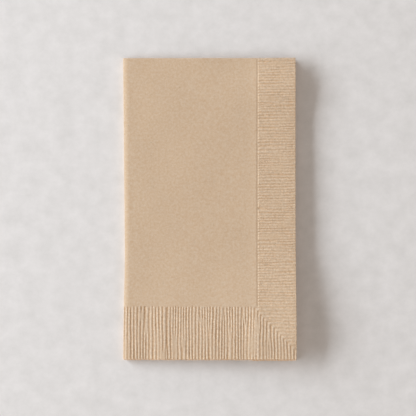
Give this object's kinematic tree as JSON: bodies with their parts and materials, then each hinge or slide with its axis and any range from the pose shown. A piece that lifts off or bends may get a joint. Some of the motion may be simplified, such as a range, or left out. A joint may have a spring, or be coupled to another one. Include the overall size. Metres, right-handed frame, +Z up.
{
  "type": "paper guest towel",
  "caption": "Folded kraft-coloured paper guest towel with a ribbed embossed border along its open end and free side.",
  "frame": {"origin": "centre of the folded towel's footprint, on the surface that it lies on", "axes": "+Z up, out of the top panel; +Y along the length, towards the folded end; +X across the width, towards the top panel's free edge"},
  "size_m": [0.112, 0.1966, 0.0064],
  "materials": {
    "tissue": "matte, soft, undyed brown tissue"
  },
  "bodies": {
    "root": {"guest_towel": "tissue"}
  },
  "joints": []
}
